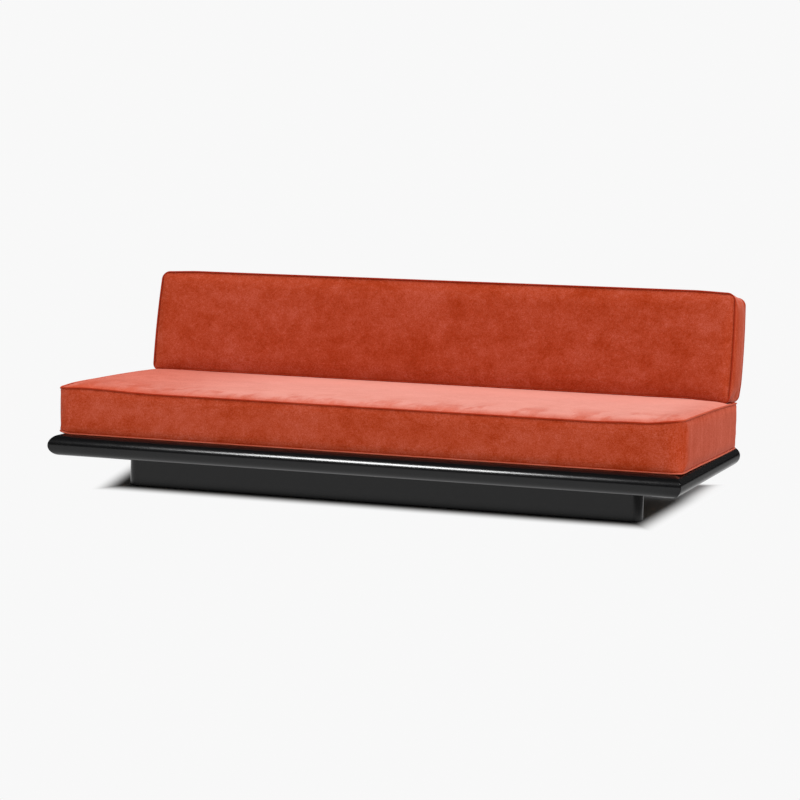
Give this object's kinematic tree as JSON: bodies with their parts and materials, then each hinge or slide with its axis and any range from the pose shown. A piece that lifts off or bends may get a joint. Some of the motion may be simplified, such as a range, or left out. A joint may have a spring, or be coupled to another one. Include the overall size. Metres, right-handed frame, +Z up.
{
  "type": "three-seater sofa",
  "caption": "Low sofa: black half-round-edged platform on set-back plinth boards, a long loose seat cushion and a leaning, piped back cushion that lifts off hidden posts.",
  "frame": {"origin": "middle of the bounding box seen from above, on the floor", "axes": "+X along the width, to the right as seen from the front; +Y towards the back; +Z up, so the sofa faces -Y"},
  "size_m": [2.3, 1.0812, 0.7523],
  "materials": {
    "black_lacquer": "gloss",
    "plywood": "matte",
    "beech": "matte",
    "rust_velvet": "matte",
    "piping_velvet": "matte",
    "foam": "matte",
    "black_steel": "satin",
    "zinc": "satin",
    "nylon": "matte",
    "zip_tape": "matte"
  },
  "bodies": {
    "base": {"centre_back_post": "black_steel", "centre_deck_panel": "plywood", "centre_post_bolt": "zinc", "front_centre_glide": "nylon", "front_left_corner_block": "beech", "front_left_glide": "nylon", "front_plinth": "black_lacquer", "front_rail": "black_lacquer", "front_right_corner_block": "beech", "front_right_glide": "nylon", "inner_left_bearer": "beech", "inner_left_stretcher": "beech", "inner_right_bearer": "beech", "inner_right_stretcher": "beech", "left_back_post": "black_steel", "left_deck_panel": "plywood", "left_post_bolt": "zinc", "left_rail": "black_lacquer", "outer_left_bearer": "beech", "outer_left_stretcher": "beech", "outer_right_bearer": "beech", "outer_right_stretcher": "beech", "rear_centre_glide": "nylon", "rear_left_corner_block": "beech", "rear_left_glide": "nylon", "rear_plinth": "black_lacquer", "rear_rail": "black_lacquer", "rear_right_corner_block": "beech", "rear_right_glide": "nylon", "right_back_post": "black_steel", "right_deck_panel": "plywood", "right_post_bolt": "zinc", "right_rail": "black_lacquer"},
    "seat": {"seat_bottom_piping": "piping_velvet", "seat_cover": "rust_velvet", "seat_foam_core": "foam", "seat_top_piping": "piping_velvet", "seat_topper": "foam", "seat_zip": "zip_tape"},
    "back": {"back_board": "plywood", "back_cover": "rust_velvet", "back_front_foam": "foam", "back_front_piping": "piping_velvet", "back_rear_foam": "foam", "back_rear_piping": "piping_velvet", "back_zip": "zip_tape", "centre_post_sleeve": "black_steel", "left_post_sleeve": "black_steel", "right_post_sleeve": "black_steel"}
  },
  "joints": [
    {"name": "seat_slide", "type": "slide", "parent": "base", "child": "seat", "axis": [0, -1, 0], "range_m": [0, 0.3]},
    {"name": "back_lift", "type": "slide", "parent": "base", "child": "back", "axis": [0, 0.1874, 0.9823], "range_m": [0, 0.24]}
  ]
}
